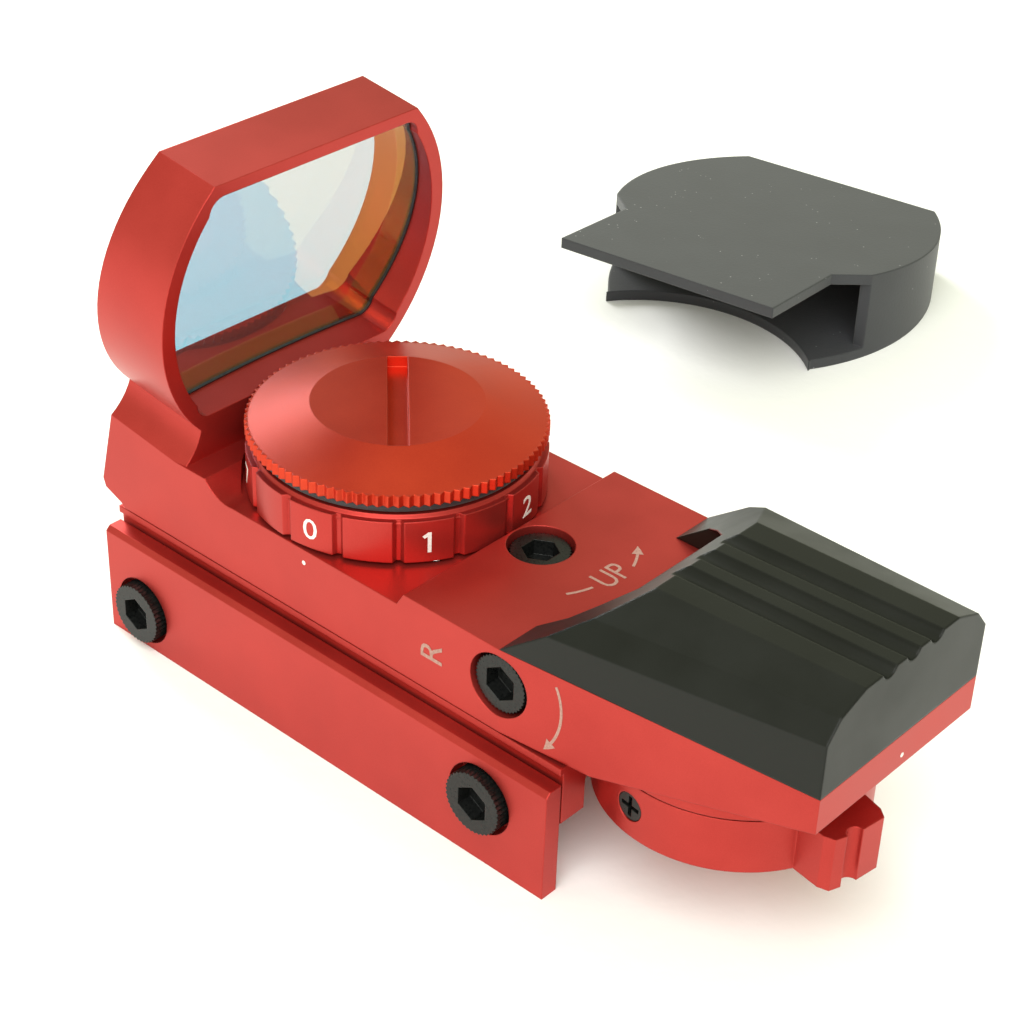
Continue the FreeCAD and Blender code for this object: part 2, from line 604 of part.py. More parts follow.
def dial_ring():
    body = new_body("DialBody")
    outline = []
    pitch = 360 / D.padCount
    floor = D.dialRadius - D.padGroove
    half_pad = D.padShare * pitch / 2
    half_floor = half_pad + 0.06 * pitch
    for k in range(int(D.padCount)):
        middle = (k + 0.5) * pitch
        outline.append(polar(floor, middle - half_floor))
        outline.append(polar(D.dialRadius, middle - half_pad))
        outline.append(polar(D.dialRadius, middle + half_pad) + polar(D.dialRadius, middle))
        outline.append(polar(floor, middle + half_floor))
    pad(body, draw(body, "PadOutline", "XY", outline), "dialTop - dialBottom - 0.35")
    put(body, (0, "dialY", "dialBottom"))
    collar = new("Part::Cone", "DialShoulder", (0, "dialY", "dialTop - 0.8"),
                 Radius1="dialRadius - padGroove + 0.1", Radius2="dialRadius - 0.75", Height="0.8")
    stem = rod("DialStem", "stemRadius", (0, "dialY", "underTop + 0.15"), "dialFloor - underTop - 0.3")
    tools = [
        rod("CapThread", "skirtRadius + 0.06", (0, "dialY", 18.7), "6"),
        rod("BatteryWell", "batteryRadius + 0.3", (0, "dialY", "dialFloor"), "6"),
        rod("StemThread", 1.03, (0, "dialY", 10), "4.5"),
    ]
    for k, (x, y) in enumerate(around(int(D.padCount), D.clickReach, turn=D.clickAngle)):
        dimple = new("Part::Sphere", f"DialDimple{k}", (x, f"dialY + ({y})", "dialBottom - 0.45"),
                     Radius="ballRadius")
        tools.append(dimple)
    keep(cut("DialRing", fuse("DialBlank", [body, collar, stem]), tools), "dial_ring")


def battery_cap():
    body = new_body("CapRim")
    outline = teeth(int(D.capTeeth), D.dialRadius, D.toothDepth)
    pad(body, draw(body, "CapTeeth", "XY", outline), "capRim - capBottom")
    put(body, (0, "dialY", "capBottom"))
    cone = new("Part::Cone", "CapCone", (0, "dialY", "capRim"),
               Radius1="dialRadius - toothDepth", Radius2="capFlat", Height="capTop - capRim")
    skirt = rod("CapSkirt", "skirtRadius", (0, "dialY", 19.0), "capBottom - 19.0 + 0.5")
    hollow = rod("CapHollow", "batteryRadius + 0.4", (0, "dialY", 18),
                 "batteryBottom + batteryThick + 0.25 - 18")
    slot = new("Part::Box", "CoinSlot", (0, 0, 0), Length="slotLength", Width="slotWidth", Height="5")
    turn = FreeCAD.Rotation(FreeCAD.Vector(0, 0, 1), D.slotAngle)
    corner = turn.multVec(FreeCAD.Vector(-D.slotLength / 2, -D.slotWidth / 2, 0))
    slot.Placement = FreeCAD.Placement(FreeCAD.Vector(), turn)
    put(slot, (corner.x, f"dialY + ({corner.y})", "capTop - slotDepth"))
    groove = new("Part::Torus", "RingGroove", (0, "dialY", "(dialTop + capBottom) / 2"),
                 Radius1="skirtRadius + 0.3", Radius2="ringSection + 0.02")
    keep(cut("BatteryCap", fuse("CapBlank", [body, cone, skirt]), [hollow, slot, groove]), "battery_cap")


def dial_inside():
    middle = "(dialTop + capBottom) / 2"
    ring = new("Part::Torus", "CapRing", (0, "dialY", middle),
               Radius1="skirtRadius + 0.3", Radius2="ringSection")
    keep(ring, "cap_oring")

    can = rod("BatteryCan", "batteryRadius", (0, "dialY", "batteryBottom + 0.4"), "batteryThick - 0.4")
    foot = rod("BatteryFoot", "batteryRadius - 1.2", (0, "dialY", "batteryBottom"), "0.6")
    keep(fuse("Battery", [can, foot]), "battery")

    leaf = new("Part::Cone", "ContactLeaf", (0, "dialY", "dialFloor"), Radius1=5.0, Radius2=2.0,
               Height="batteryBottom - dialFloor - 0.02")
    hollow = new("Part::Cone", "ContactHollow", (0, "dialY", "dialFloor - 0.25"), Radius1=5.0, Radius2=2.0,
                 Height="batteryBottom - dialFloor - 0.02")
    hole = rod("ContactHole", 1.2, (0, "dialY", "dialFloor - 1"), "3")
    keep(cut("BatteryContact", leaf, [hollow, hole]), "battery_contact")

    board = rod("BoardDisc", "boardRadius", (0, "dialY", "boardBottom"), "boardThick")
    keep(cut("DimmerBoard", board, [rod("BoardHole", "boardHole", (0, "dialY", 14), "3")]), "dimmer_board")

    strip = box("WiperStrip", (-0.6, "dialY + 5.5", "dialBottom - 0.2"), (0.6, "dialY + 10.5", "dialBottom"))
    board_top = "boardBottom + boardThick + 0.05"
    tip = rod("WiperTip", 0.5, (0, "dialY + 9.8", board_top), f"dialBottom - ({board_top}) - 0.1")
    keep(fuse("Wiper", [strip, tip]), "dimmer_wiper")

    head = rod("DialScrewHead", "stemRadius + 1.0", (0, "dialY", "underTop - 1.35"), "1.2")
    stem = rod("DialScrewStem", 1.0, (0, "dialY", "underTop - 0.5"), "3.0")
    driver = hexagon("DialScrewDriver", 1.5, (0, "dialY", "underTop - 2"), "1.3")
    keep(cut("DialScrew", fuse("DialScrewBlank", [head, stem]), [driver]), "dial_screw")

    x, y = polar(D.clickReach, D.clickAngle)
    ball = new("Part::Sphere", "DialBall", (x, f"dialY + ({y})", "dialBottom - 0.78"), Radius="ballRadius")
    keep(ball, "dial_detent_ball")
    coil("DialSpring", "dial_detent_spring", 0.5, 0.12, (x, f"dialY + ({y})", "clickFloor + 0.13"), 1.3, 3)


# ---- rear cover and light source ----

def above_plane(name, corners):
    """A large block whose underside lies in the plane of three points."""
    first, second, third = [FreeCAD.Vector(*corner) for corner in corners]
    normal = (second - first).cross(third - first)
    if normal.z < 0:
        normal = normal * -1
    turn = FreeCAD.Rotation(FreeCAD.Vector(0, 0, 1), normal)
    block = new("Part::Box", name, (0, 0, 0), Length=140, Width=140, Height=40)
    block.Placement = FreeCAD.Placement(first - turn.multVec(FreeCAD.Vector(70, 70, 0)), turn)
    for letter in "xyz":
        block.setExpression("Placement.Base." + letter, None)
    return block


def cover_blank(seam):
    """The cover's faceted outside: a tapered block cut by two flanks a side and a rising crown."""
    body = new_body("CoverBlock")
    outline = [
        (D.bodyHalf, D.taperStart + 4), (D.bodyHalf, D.taperStart), (D.rearHalf, D.bodyRear),
        (-D.rearHalf, D.bodyRear), (-D.bodyHalf, D.taperStart), (-D.bodyHalf, D.taperStart + 4),
    ]
    pad(body, draw(body, "CoverPlan", "XY", outline, (0, 0, seam)), "12")
    front, rear = D.taperStart, D.bodyRear
    crown = [(0, front, D.coverCrownFront), (0, rear, D.coverCrownRear), (1, rear, D.coverCrownRear)]
    tools = [above_plane("AboveCrown", crown)]
    for hand in (-1, 1):
        shoulder = (hand * D.coverShoulderHalf, rear, D.coverShoulder)
        ridge = [(hand * D.bodyHalf, front, D.coverRidgeFront), (hand * D.rearHalf, rear, D.coverRidgeRear)]
        flank = ridge + [shoulder]
        tools.append(above_plane(f"AboveFlank{hand + 1}", flank))
        crown_edge = (hand * D.coverCrownHalf, rear, D.coverCrownRear)
        slope = [shoulder, crown_edge, (hand * (D.coverCrownHalf + 0.3), D.coverEdge, D.coverEdgeTop)]
        tools.append(above_plane(f"AboveSlope{hand + 1}", slope))
    return cut("CoverBlank", body, tools)


def rear_cover():
    seam = D.upDeck + 0.02
    outer = cover_blank(seam)
    inner = new_body("CoverHollow")
    half = D.rearHalf - D.coverWall
    roof = D.coverRoof
    side = [(half, seam - 1), (half, roof - 3.0), (half - 1.6, roof - 1.5), (half - 3.8, roof)]
    room = [(-x, z) for x, z in side] + side[::-1]
    sketch = draw(inner, "CoverRoomSection", "XZ", room, (0, 0, -D.bodyRear - D.coverWall))
    pad(inner, sketch, "bodyHalf + taperStart - bodyRear - coverWall", reverse=True)
    brow = new_body("CoverBrow")
    foot_y, foot_z = D.taperStart + 0.2, seam
    run = 16.0
    rise = run * math.tan(math.radians(D.coverBrow))
    top = foot_z + rise
    ahead = [(foot_y, foot_z), (foot_y - run, top), (foot_y + 6, top), (foot_y + 6, foot_z)]
    pad(brow, draw(brow, "BrowSide", "YZ", ahead), "40", "Symmetric")
    posts = []
    bores = []
    for hand in (-1, 1):
        x = f"{hand} * coverScrewX"
        posts.append(rod(f"CoverPost{hand + 1}", "postRadius", (x, "coverScrewY", "upDeck - 3"), "12"))
        bores.append(rod(f"CoverPostBore{hand + 1}", "coverScrewRadius + threadGap",
                         (x, "coverScrewY", "upDeck - 1"), "5.0"))
    tools = [cut("CoverRoom", inner, posts), brow] + bores
    slope = math.degrees(math.atan2(D.coverCrownRear - D.coverCrownFront, D.taperStart - D.bodyRear))
    turn = FreeCAD.Rotation(FreeCAD.Vector(1, 0, 0), -90 - slope)
    for k in (-1, 0, 1):
        end_y = D.bodyRear - 0.5
        end_z = D.coverCrownRear + 0.35
        groove = new("Part::Cylinder", f"Groove{k + 1}", (0, 0, 0), Radius="grooveRadius", Height="30")
        groove.Placement = FreeCAD.Placement(FreeCAD.Vector(), turn)
        put(groove, (f"{k} * groovePitch", end_y, end_z))
        tools.append(groove)
    keep(cut("RearCover", outer, tools), "rear_cover")

    screws = []
    for hand in (-1, 1):
        x = f"{hand} * coverScrewX"
        head = rod(f"CoverScrewHead{hand + 1}", "screwHeadRadius", (x, "coverScrewY", 13.0), "1.15")
        stem = rod(f"CoverScrewStem{hand + 1}", "coverScrewRadius", (x, "coverScrewY", 13.5), "7.0")
        at = (x, "coverScrewY", 12.0)
        cross = cross_driver(f"CoverCross{hand + 1}", "driverHalf", "driverSlot", at, 1.6)
        screws.append(cut(f"CoverScrew{hand + 1}", fuse(f"CoverScrewBlank{hand + 1}", [head, stem]), [cross]))
    keep(group("CoverScrews", screws), "cover_screws")


def light_source():
    window = box("WindowPane", ("0 - windowHalf", "windowRear", "ledgeFloor + 0.02"),
                 ("windowHalf", "windowRear + windowThick", "windowTop"))
    keep(window, "emitter_window")

    stand = new_body("MirrorStand")
    side = [(-47.4, 15.22), (-45.2, 15.22), (-44.2, 16.6), (-39.4, 21.4), (-40.4, 22.4), (-47.4, 18.4)]
    pad(stand, draw(stand, "StandSide", "YZ", side), "standWidth", "Symmetric")
    keep(stand, "mirror_bracket")

    mirror = new_body("MirrorPlate")
    side = [(-44.16, 16.56), (-39.44, 21.36), (-38.9, 20.82), (-43.6, 16.02)]
    pad(mirror, draw(mirror, "MirrorSide", "YZ", side), "mirrorWidth", "Symmetric")
    keep(mirror, "mirror")

    top = "cavityFloor + 0.6"
    board = box("LedBoard", (-3.2, "ledY - 2.1", "cavityFloor + 0.02"), (3.2, "ledY + 1.9", top))
    keep(board, "led_board")
    base = rod("LedBase", "ledRadius", (0, "ledY", top), "0.3")
    dome = new("Part::Sphere", "LedDome", (0, "ledY", "cavityFloor + 0.5"), Radius=0.7)
    room = box("LedDomeRoom", (-1, "ledY - 1", top), (1, "ledY + 1", "cavityFloor + 2"))
    keep(fuse("Led", [base, common("LedDomeTop", dome, room)]), "led")


# ---- reticle selector ----

def selector_outline():
    """A disc with a radial tab that has a thumb notch in its end."""
    axis = -90 - D.tabAngle
    root = math.degrees(math.asin(D.tabWidth / 2 / D.selectorRadius))
    tip = math.degrees(math.asin(D.tabWidth / 2 / D.tabRadius))
    corner = D.tabRadius - 0.8
    return [
        polar(D.selectorRadius, axis - root) + polar(D.selectorRadius, axis + 180),
        polar(corner, axis - tip),
        polar(D.tabRadius, axis - tip * 0.8),
        polar(D.tabRadius, axis - tip * 0.45),
        polar(D.tabRadius, axis + tip * 0.05) + polar(D.tabRadius - 0.75, axis - tip * 0.2),
        polar(D.tabRadius, axis + tip * 0.8),
        polar(corner, axis + tip),
        polar(D.selectorRadius, axis + root),
    ]


def selector():
    body = new_body("SelectorBody")
    sketch = draw(body, "SelectorOutline", "XY", selector_outline())
    pad(body, sketch, "selectorTop - selectorGap - selectorBottom")
    put(body, (0, "selectorY", "selectorBottom"))
    screw_turn = FreeCAD.Rotation(FreeCAD.Vector(0, 0, 1), D.setScrewAngle) * TURNS["X"]
    screw_height = "selectorBottom + 2.9"
    bore = rod("SelectorScrewBore", "setScrewRadius + 0.05", (0, 0, 0), "14")
    bore.Placement = FreeCAD.Placement(FreeCAD.Vector(), screw_turn)
    put(bore, (0, "selectorY", screw_height))
    tools = [rod("SpindleHole", "shankRadius + threadGap", (0, "selectorY", 5.4), "10"), bore]
    for k in range(-1, 3):
        x, y = polar(D.stopReach, D.stopAngle - D.stopStep * k)
        tools.append(new("Part::Sphere", f"SelectorDimple{k + 1}",
                         (x, f"selectorY + ({y})", "selectorTop - selectorGap + 0.45"), Radius="ballRadius"))
    keep(cut("SelectorDisc", body, tools), "selector_disc")

    screw = rod("SetScrewBody", "setScrewRadius", (0, 0, 0), "setScrewLength")
    cross = cross_driver("SetCross", "1.0", "0.2", (0, 0, D.setScrewLength - 0.7), 2.0)
    set_screw = cut("SetScrew", screw, [cross])
    outward = screw_turn.multVec(FreeCAD.Vector(0, 0, D.selectorRadius - D.setScrewLength - 0.1))
    set_screw.Placement = FreeCAD.Placement(FreeCAD.Vector(), screw_turn)
    put(set_screw, (outward.x, f"selectorY + ({outward.y})", screw_height))
    keep(set_screw, "selector_screw")

    stem = rod("SpindleStem", "shankRadius", (0, "selectorY", 5.5), "reticleZ + 0.75 - 5.5")
    collar = rod("SpindleCollar", 2.8, (0, "selectorY", "cavityFloor + 0.05"), "0.7")
    keep(fuse("Spindle", [stem, collar]), "selector_spindle")
    disc = rod("ReticleSheet", "reticleRadius", (0, "selectorY", "reticleZ"), "0.4")
    tools = [rod("ReticleHole", "shankRadius", (0, "selectorY", 13), "3")]
    for k in range(4):
        x, y = polar(D.reticleReach, -90 - D.stopStep * (k - 1))
        tools.append(rod(f"ReticleDot{k}", 0.15 + 0.08 * k, (x, f"selectorY + ({y})", 13), "3"))
    keep(cut("ReticleDisc", disc, tools), "reticle_disc")

    x, y = polar(D.stopReach, D.stopAngle)
    ball = new("Part::Sphere", "SelectorBall", (x, f"selectorY + ({y})", "selectorTop + 0.72"),
               Radius="ballRadius")
    keep(ball, "selector_detent_ball")
    coil("SelectorSpring", "selector_detent_spring", 0.5, 0.12, (x, f"selectorY + ({y})", 11.4), 0.9, 3)


# ---- rubber lens cover ----

def rubber_half(x, shrink=0.0):
    """Half the cover's width, measured from its open end."""
    radius = D.rubberRadius - shrink
    return math.sqrt(radius ** 2 - (x - D.rubberCentre) ** 2) - D.rubberArcShift


def rubber_above(name, height):
    """Everything above a plane that falls away from the open end."""
    block = new("Part::Box", name, (0, 0, 0), Length="90", Width="80", Height="30")
    fall = FreeCAD.Rotation(FreeCAD.Vector(0, 1, 0), D.rubberFall)
    block.Placement = FreeCAD.Placement(FreeCAD.Vector(), fall)
    corner = fall.multVec(FreeCAD.Vector(-30, -40, 0))
    put(block, (corner.x, corner.y, f"{height} + ({corner.z})"))
    return block


def rubber_cover():
    """A D-shaped cup with a thumb tab on its lid and a hollow edge that clears the dial."""
    middle = D.rubberCentre
    bulge = D.rubberRadius - D.rubberArcShift
    start, far = D.rubberWallStart, D.rubberSpan
    tab = D.rubberTabHalf
    shape = [
        (-D.rubberTab, -tab), (1.4, -tab), (start, -rubber_half(start)),
        (far, -rubber_half(far), middle, -bulge), (far, rubber_half(far)),
        (start, rubber_half(start), middle, bulge), (1.4, tab), (-D.rubberTab, tab),
    ]
    solid = new_body("RubberSolid")
    pad(solid, draw(solid, "RubberShape", "XY", shape), "rubberDepth + 5")

    wall = D.rubberWall
    outside = D.rubberTab + 5
    end = far - wall
    room_shape = [
        (-outside, -outside - tab), (start, -outside - tab), (start, -rubber_half(start, wall)),
        (end, -rubber_half(end, wall), middle, wall - bulge), (end, rubber_half(end, wall)),
        (start, rubber_half(start, wall), middle, bulge - wall), (start, outside + tab),
        (-outside, outside + tab),
    ]
    room = new_body("RubberHollow")
    pad(room, draw(room, "RubberRoomShape", "XY", room_shape, (0, 0, wall)), "rubberDepth + 5")
    hollow = cut("RubberRoom", room, [rubber_above("RubberLidBlock", "rubberDepth - rubberWall")])

    first, last = D.rubberFloorStart, start + wall
    lip_shape = [
        (first, -rubber_half(first)), (last, -rubber_half(last), 2.0, -rubber_half(2.0)),
        (last, rubber_half(last)), (first, rubber_half(first), 2.0, rubber_half(2.0)),
    ]
    lip = new_body("RubberLip")
    pad(lip, draw(lip, "RubberLipShape", "XY", lip_shape), "rubberWall")

    sagitta = D.rubberReliefDepth
    relief_radius = (tab ** 2 + sagitta ** 2) / (2 * sagitta)
    relief_x = D.rubberFloorStart + sagitta - relief_radius
    tools = [
        hollow, rubber_above("RubberAbove", "rubberDepth"),
        rod("DialRelief", relief_radius, (relief_x, 0, -1), "rubberWall + 1.5"),
        box("TabRelief", ("0 - rubberTab - 5", -40, -1), ("rubberFloorStart", 40, "rubberWall + 0.5")),
    ]
    cover = cut("RubberCover", fuse("RubberBlank", [solid, lip]), tools)
    turn = FreeCAD.Rotation(FreeCAD.Vector(0, 0, 1), D.rubberTurn)
    cover.Placement = FreeCAD.Placement(FreeCAD.Vector(), turn)
    put(cover, ("rubberX", "rubberY", "0 - jawBottom"))
    keep(cover, "lens_cover")


def build():
    fill_sheet()
    rail_base()
    clamp_plate()
    clamp_screws()
    clamp_nuts()
    swivel_plate()
    swivel_screw()
    pivot_pin()
    adjusting_screws()
    windage_nut()
    coil("ElevationSpring", "elevation_spring", "springRadius", "springWire",
         (0, "elevationY", "swivelTop + 0.35"), 3.0, 3)
    housing()
    lens()
    lens_seal()
    dial_ring()
    battery_cap()
    dial_inside()
    rear_cover()
    light_source()
    selector()
    rubber_cover()
    doc.recompute()


def check():
    for obj in doc.Objects:
        if "Invalid" in obj.State or "Error" in obj.State:
            raise RuntimeError(f"{obj.Name}: {obj.State}")
    for obj in nodes:
        shape = obj.Shape
        if shape.isNull() or not shape.isValid() or not shape.Solids:
            raise RuntimeError(obj.Label + " has no valid solid")


def export():
    os.makedirs("parts", exist_ok=True)
    for obj in nodes:
        obj.Shape.exportStep(f"parts/{obj.Label}.step")
        bounds = obj.Shape.BoundBox
        spans = f"{bounds.XLength:.2f} x {bounds.YLength:.2f} x {bounds.ZLength:.2f}"
        print(f"{obj.Label:24s} solids {len(obj.Shape.Solids)} volume {obj.Shape.Volume:9.2f} size {spans}")


build()
check()
export()
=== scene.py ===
import math

import bpy
from mathutils import Matrix, Vector


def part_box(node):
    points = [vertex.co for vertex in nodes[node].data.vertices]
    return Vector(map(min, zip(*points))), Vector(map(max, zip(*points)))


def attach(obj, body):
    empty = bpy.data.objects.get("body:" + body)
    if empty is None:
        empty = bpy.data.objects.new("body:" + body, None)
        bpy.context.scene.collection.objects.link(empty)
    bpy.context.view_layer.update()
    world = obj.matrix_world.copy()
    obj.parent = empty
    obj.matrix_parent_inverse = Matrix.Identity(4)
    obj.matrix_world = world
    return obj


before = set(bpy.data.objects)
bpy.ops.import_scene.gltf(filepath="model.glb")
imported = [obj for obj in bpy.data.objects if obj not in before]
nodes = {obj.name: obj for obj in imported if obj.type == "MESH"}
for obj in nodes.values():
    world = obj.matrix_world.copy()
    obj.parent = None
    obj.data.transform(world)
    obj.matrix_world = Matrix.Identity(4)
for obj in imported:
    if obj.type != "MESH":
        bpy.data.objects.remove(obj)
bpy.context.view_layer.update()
bpy.ops.object.select_all(action="DESELECT")
mm = 0.001
edgeSamples = 6
print("frame loaded")


class Value:
    def __init__(self, finish, socket):
        self.finish = finish
        self.socket = socket

    def maths(self, operation, first, second):
        return self.finish.node("Math", {"operation": operation}, {0: first, 1: second})

    def __add__(self, other):
        return self.maths("ADD", self, other)

    def __radd__(self, other):
        return self.maths("ADD", other, self)

    def __mul__(self, other):
        return self.maths("MULTIPLY", self, other)

    def __rmul__(self, other):
        return self.maths("MULTIPLY", other, self)

    def __gt__(self, other):
        return self.maths("GREATER_THAN", self, other)


class Finish:
    def __init__(self, name):
        self.material = bpy.data.materials.new(name)
        self.material.use_nodes = True
        self.tree = self.material.node_tree
        self.tree.nodes.clear()
        self.place = self.node("TexCoord", {}, {}, "Object")

    def node(self, kind, settings, sockets, result=0):
        made = self.tree.nodes.new("ShaderNode" + kind)
        for name, value in settings.items():
            if name == "stops":
                ramp = made.color_ramp
                for extra in range(len(value) - 2):
                    ramp.elements.new(1.0)
                for element, (at, colour) in zip(ramp.elements, value):
                    element.position = at
                    element.color = (*colour, 1.0)
            else:
                setattr(made, name, value)
        for name, value in sockets.items():
            if isinstance(value, Value):
                self.tree.links.new(value.socket, made.inputs[name])
            else:
                made.inputs[name].default_value = value
        if not made.outputs:
            return made
        return Value(self, made.outputs[result])

    def noise(self, size, detail=2.0):
        sockets = {"Vector": self.place, "Scale": 1.0 / size, "Detail": detail}
        return self.node("TexNoise", {}, sockets)

    def remap(self, value, low, high, toLow, toHigh):
        return self.node("MapRange", {}, {0: value, 1: low, 2: high, 3: toLow, 4: toHigh})

    def mixColour(self, factor, first, second):
        colours = [c if isinstance(c, Value) else (*c, 1.0) for c in (first, second)]
        return self.node("Mix", {"data_type": "RGBA"}, {0: factor, 6: colours[0], 7: colours[1]}, 2)

    def centred(self, centre):
        return self.node("Mapping", {"vector_type": "TEXTURE"}, {"Vector": self.place, "Location": centre})

    def edges(self, radius):
        return self.node("Bevel", {"samples": edgeSamples}, {"Radius": radius})

    def bump(self, height, strength, distance, normal=None):
        sockets = {"Height": height, "Strength": strength, "Distance": distance}
        if normal:
            sockets["Normal"] = normal
        return self.node("Bump", {}, sockets)

    def surface(self, sockets):
        ready = {}
        for name, value in sockets.items():
            colour = isinstance(value, tuple) and len(value) == 3
            ready[name] = (*value, 1.0) if colour else value
        return self.node("BsdfPrincipled", {}, ready)

    def done(self, shader):
        self.node("OutputMaterial", {}, {"Surface": shader})
        return self.material


# bead-blasted aluminium, dyed and anodised; the cap's lighter, more orange copy of the red is painted
# highlight
anodising = {
    "bodyRed": (0.50, 0.046, 0.038),
    "shadeRed": (0.43, 0.034, 0.028),
    # the cap's two colours are the same red anodising painted lighter and more orange, a painted highlight
    # where bright light falls on the cap
    "capPaintedHighlightRed": (0.62, 0.055, 0.020),
    "capPaintedHighlightDark": (0.54, 0.040, 0.016),
    "metal": 0.78,
    "roughness": (0.34, 0.44),
    "grain": 0.11 * mm,
    "cloud": 9.0 * mm,
    "edge": 0.16 * mm,
    "grainBump": (0.16, 0.02 * mm),
    "dialCentre": (0.0, 4.2 * mm, 0.0),
    "turningScale": 0.05 / (0.16 * mm),
    "turningBump": (0.10, 0.01 * mm),
}


def makeAnodised(name, light, dark, turned=False):
    finish = Finish(name)
    grain = finish.noise(anodising["grain"], 1.0)
    cloud = finish.noise(anodising["cloud"], 3.0)
    low, high = anodising["roughness"]
    tone = finish.remap(cloud * 0.7 + grain * 0.3, 0.35, 0.65, 0.0, 1.0)
    normal = finish.bump(grain, *anodising["grainBump"], finish.edges(anodising["edge"]))
    if turned:
        around = finish.centred(anodising["dialCentre"])
        settings = {"wave_type": "RINGS", "rings_direction": "Z"}
        sockets = {"Vector": around, "Scale": anodising["turningScale"]}
        rings = finish.node("TexWave", settings, sockets, 1)
        normal = finish.bump(rings, *anodising["turningBump"], normal)
    return finish.done(finish.surface({
        "Base Color": finish.mixColour(tone, dark, light),
        "Metallic": anodising["metal"],
        "Roughness": finish.remap(cloud + grain * 0.3, 0.4, 0.9, low, high),
        "Normal": normal,
    }))


# oxide-blackened screws and plain steel parts
metals = {
    "oxide": {"light": (0.020, 0.021, 0.020), "dark": (0.009, 0.010, 0.010), "rough": (0.26, 0.38),
              "metal": 0.55},
    "steel": {"light": (0.62, 0.61, 0.60), "dark": (0.45, 0.45, 0.45), "rough": (0.24, 0.36),
              "metal": 1.0},
    "wire": {"light": (0.50, 0.50, 0.52), "dark": (0.36, 0.36, 0.38), "rough": (0.28, 0.40),
             "metal": 1.0},
    "brass": {"light": (0.78, 0.56, 0.26), "dark": (0.60, 0.40, 0.16), "rough": (0.26, 0.38),
              "metal": 1.0},
    "nickel": {"light": (0.74, 0.73, 0.70), "dark": (0.60, 0.59, 0.57), "rough": (0.14, 0.24),
               "metal": 1.0},
    "grain": 0.25 * mm,
    "edge": 0.10 * mm,
    "grainBump": (0.08, 0.02 * mm),
}


def makeMetal(name):
    tone = metals[name]
    finish = Finish(name)
    grain = finish.noise(metals["grain"], 3.0)
    low, high = tone["rough"]
    mixed = finish.remap(grain, 0.35, 0.65, 0.0, 1.0)
    return finish.done(finish.surface({
        "Base Color": finish.mixColour(mixed, tone["dark"], tone["light"]),
        "Metallic": tone["metal"],
        "Roughness": finish.remap(grain, 0.3, 0.7, low, high),
        "Normal": finish.bump(grain, *metals["grainBump"], finish.edges(metals["edge"])),
    }))


# moulded black plastic, with a fine sparked texture
plastic = {
    "light": (0.0095, 0.0105, 0.0085),
    "dark": (0.0060, 0.0066, 0.0054),
    "roughness": (0.30, 0.40),
    "shine": 0.22,
    "grain": 0.16 * mm,
    "smear": 6 * mm,
    "edge": 0.30 * mm,
    "grainBump": (0.14, 0.02 * mm),
}


def makePlastic():
    finish = Finish("mouldedBlack")
    grain = finish.noise(plastic["grain"], 2.0)
    smear = finish.noise(plastic["smear"], 3.0)
    low, high = plastic["roughness"]
    return finish.done(finish.surface({
        "Base Color": finish.mixColour(smear, plastic["dark"], plastic["light"]),
        "Roughness": finish.remap(smear, 0.3, 0.7, low, high),
        "Specular IOR Level": plastic["shine"],
        "Normal": finish.bump(grain, *plastic["grainBump"], finish.edges(plastic["edge"])),
    }))


# soft moulded rubber with a few specks of dust on it
rubber = {
    "light": (0.032, 0.034, 0.040),
    "dark": (0.021, 0.022, 0.027),
    "dust": (0.42, 0.42, 0.44),
    "roughness": 0.62,
    "sheen": 0.12,
    "grain": 0.35 * mm,
    "cloud": 7 * mm,
    "speck": 0.9 * mm,
    "dustPatch": 2.6 * mm,
    "dustCut": 0.60,
    "edge": 0.35 * mm,
    "grainBump": (0.35, 0.05 * mm),
}


def makeRubber():
    finish = Finish("softRubber")
    grain = finish.noise(rubber["grain"], 2.0)
    cloud = finish.noise(rubber["cloud"], 3.0)
    scatter = {"Vector": finish.place, "Scale": 1.0 / rubber["speck"]}
    spot = finish.node("TexVoronoi", {"feature": "F1"}, scatter, "Distance")
    chosen = finish.noise(rubber["dustPatch"], 1.0) > rubber["dustCut"]
    dust = finish.remap(spot, 0.05, 0.13, 0.75, 0.0) * chosen
    ground = finish.mixColour(cloud, rubber["dark"], rubber["light"])
    return finish.done(finish.surface({
        "Base Color": finish.mixColour(dust, ground, rubber["dust"]),
        "Roughness": rubber["roughness"],
        "Sheen Weight": rubber["sheen"],
        "Normal": finish.bump(grain, *rubber["grainBump"], finish.edges(rubber["edge"])),
    }))


bead = {
    "light": (0.022, 0.021, 0.020),
    "dark": (0.008, 0.008, 0.009),
    "roughness": 0.42,
    "grain": 0.5 * mm,
    "grainBump": (0.5, 0.15 * mm),
}


def makeBead():
    finish = Finish("sealantBead")
    grain = finish.noise(bead["grain"], 2.0)
    return finish.done(finish.surface({
        "Base Color": finish.mixColour(grain, bead["dark"], bead["light"]),
        "Roughness": bead["roughness"],
        "Normal": finish.bump(grain, *bead["grainBump"]),
    }))


# a thin coating that sends orange back and lets blue through
lensCoating = {
    "reflects": (1.0, 0.35, 0.07),
    "passes": (0.62, 0.88, 1.0),
    "share": 0.30,
    "roughness": 0.012,
}


def makeLens():
    finish = Finish("coatedGlass")
    coat = finish.surface({
        "Base Color": lensCoating["reflects"],
        "Metallic": 1.0,
        "Roughness": lensCoating["roughness"],
    })
    clear = finish.node("BsdfTransparent", {}, {"Color": (*lensCoating["passes"], 1.0)})
    return finish.done(finish.node("MixShader", {}, {0: lensCoating["share"], 1: clear, 2: coat}))


pane = {"colour": (0.9, 0.9, 0.9), "roughness": (0.03, 0.09), "alpha": 0.18, "haze": 3 * mm}


def makeWindow():
    finish = Finish("clearPane")
    haze = finish.noise(pane["haze"], 2.0)
    return finish.done(finish.surface({
        "Base Color": pane["colour"],
        "Roughness": finish.remap(haze, 0.3, 0.7, *pane["roughness"]),
        "Alpha": pane["alpha"],
    }))


